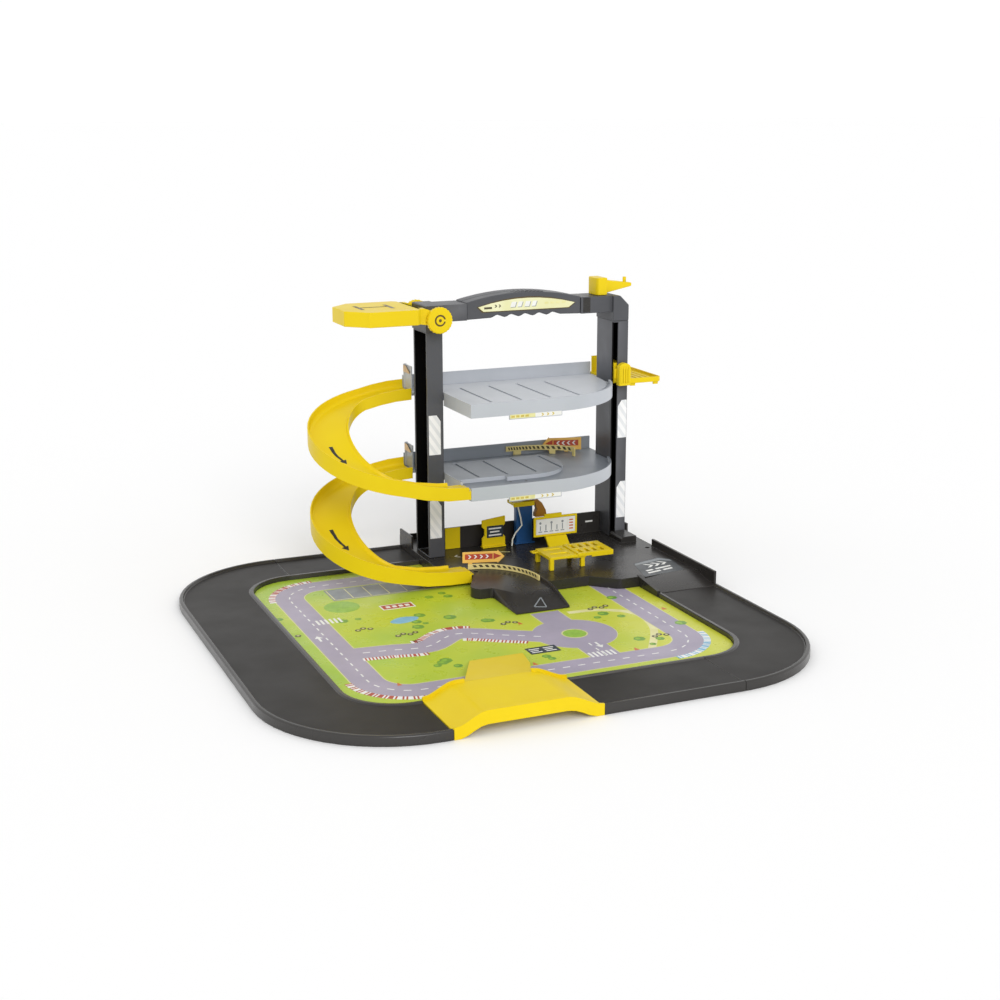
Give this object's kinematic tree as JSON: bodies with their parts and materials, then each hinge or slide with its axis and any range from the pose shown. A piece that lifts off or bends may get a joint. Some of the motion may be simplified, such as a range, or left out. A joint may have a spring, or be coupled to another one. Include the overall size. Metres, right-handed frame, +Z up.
{
  "type": "toy parking garage",
  "caption": "Toy parking garage: road ring with bridge round a play mat, two towers with decks, spiral ramps, a lift, a helipad, a crane and a carrying handle.",
  "frame": {"origin": "on the floor, at the middle of the road ring", "axes": "+X to the right along the garage front, +Y to the back, +Z up"},
  "size_m": [0.742, 0.7, 0.4075],
  "materials": {
    "charcoal_plastic": "satin moulded plastic",
    "tower_plastic": "satin moulded plastic",
    "yellow_plastic": "glossy moulded plastic",
    "deck_plastic": "satin moulded plastic",
    "printed_board": "printed film on board",
    "cream_label": "printed label",
    "zinc_steel": "zinc plated steel",
    "cream_fence": "printed plastic",
    "orange_sign": "printed plastic",
    "blue_plastic": "glossy moulded plastic",
    "ochre_plastic": "satin moulded plastic",
    "white_plastic": "glossy moulded plastic"
  },
  "bodies": {
    "garage": {"ring_left": "charcoal_plastic", "ring_back": "charcoal_plastic", "ring_front": "charcoal_plastic", "ring_right": "charcoal_plastic", "platform": "charcoal_plastic", "left_tower": "tower_plastic", "right_tower": "tower_plastic", "left_cap": "tower_plastic", "right_cap": "tower_plastic", "handle_front": "tower_plastic", "handle_rear": "tower_plastic", "bridge": "yellow_plastic", "spiral_upper": "yellow_plastic", "spiral_lower": "yellow_plastic", "notice_board": "yellow_plastic", "pump_canopy": "yellow_plastic", "tool_board": "yellow_plastic", "tool_stand": "yellow_plastic", "service_table": "yellow_plastic", "service_tray": "yellow_plastic", "wall_panel": "yellow_plastic", "deck_lower": "deck_plastic", "deck_upper": "deck_plastic", "play_mat": "printed_board", "handle_badge": "cream_label", "handle_screw_1": "zinc_steel", "handle_screw_2": "zinc_steel", "handle_screw_3": "zinc_steel", "gate_lower_pin": "zinc_steel", "gate_upper_pin": "zinc_steel", "fence_ground": "cream_fence", "fence_deck": "cream_fence", "arrow_ground": "orange_sign", "arrow_deck": "orange_sign", "pump_column": "blue_plastic", "pump_arm": "ochre_plastic", "pump_pipe": "white_plastic", "tool_panel": "white_plastic"},
    "helipad": {"helipad": "yellow_plastic", "helipad_pin": "zinc_steel", "helipad_disc_front": "yellow_plastic", "helipad_disc_rear": "yellow_plastic"},
    "crane": {"crane_boom": "yellow_plastic", "crane_pin": "yellow_plastic"},
    "lift": {"lift_slider": "yellow_plastic", "lift_knob": "yellow_plastic", "lift_cab": "yellow_plastic"},
    "gate_lower": {"gate_lower": "deck_plastic"},
    "gate_upper": {"gate_upper": "deck_plastic"}
  },
  "joints": [
    {"name": "helipad_hinge", "type": "hinge", "parent": "garage", "child": "helipad", "pos_m": [0.033, 0.269, 0.364], "axis": [0, 1, 0], "range_deg": [0, 90]},
    {"name": "crane_swivel", "type": "hinge", "parent": "garage", "child": "crane", "pos_m": [0.3005, 0.269, 0.3825], "axis": [0, 0, 1], "range_deg": [-90, 90]},
    {"name": "lift_slide", "type": "slide", "parent": "garage", "child": "lift", "axis": [0, 0, 1], "range_m": [-0.219, 0]},
    {"name": "gate_lower_hinge", "type": "hinge", "parent": "garage", "child": "gate_lower", "pos_m": [0.0202, 0.3311, 0.137], "axis": [0, 0, 1], "range_deg": [-90, 0]},
    {"name": "gate_upper_hinge", "type": "hinge", "parent": "garage", "child": "gate_upper", "pos_m": [0.0202, 0.3311, 0.253], "axis": [0, 0, 1], "range_deg": [-90, 0]}
  ]
}
